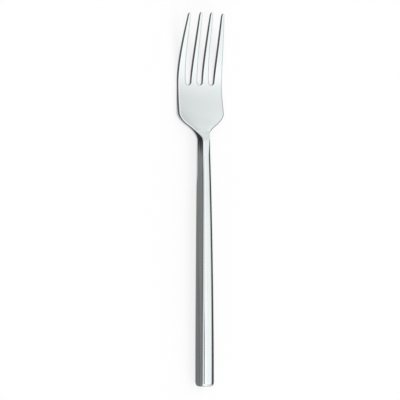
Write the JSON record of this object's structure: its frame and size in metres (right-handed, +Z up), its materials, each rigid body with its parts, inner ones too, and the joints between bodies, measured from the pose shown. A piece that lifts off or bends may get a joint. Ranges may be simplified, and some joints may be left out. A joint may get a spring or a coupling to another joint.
{
  "type": "dessert fork",
  "caption": "Slim polished steel dessert fork with a tined head, a narrow neck and a bar-shaped hollow handle, for eating cakes and sweets.",
  "frame": {"origin": "on the table surface, at the middle of the fork's length and width, with the fork lying on its back", "axes": "+Y along the fork from the butt to the tine tips, +X to the right seen from above, +Z up out of the fork's front face"},
  "size_m": [0.0248, 0.18, 0.0093],
  "materials": {
    "head_steel": "mirror-polished stainless steel",
    "handle_steel": "mirror-polished stainless steel",
    "filler_resin": "cast resin cement, unseen inside the handle"
  },
  "bodies": {
    "root": {"fork_head": "head_steel", "handle_front_shell": "handle_steel", "handle_back_shell": "handle_steel", "handle_filler": "filler_resin"}
  },
  "joints": []
}
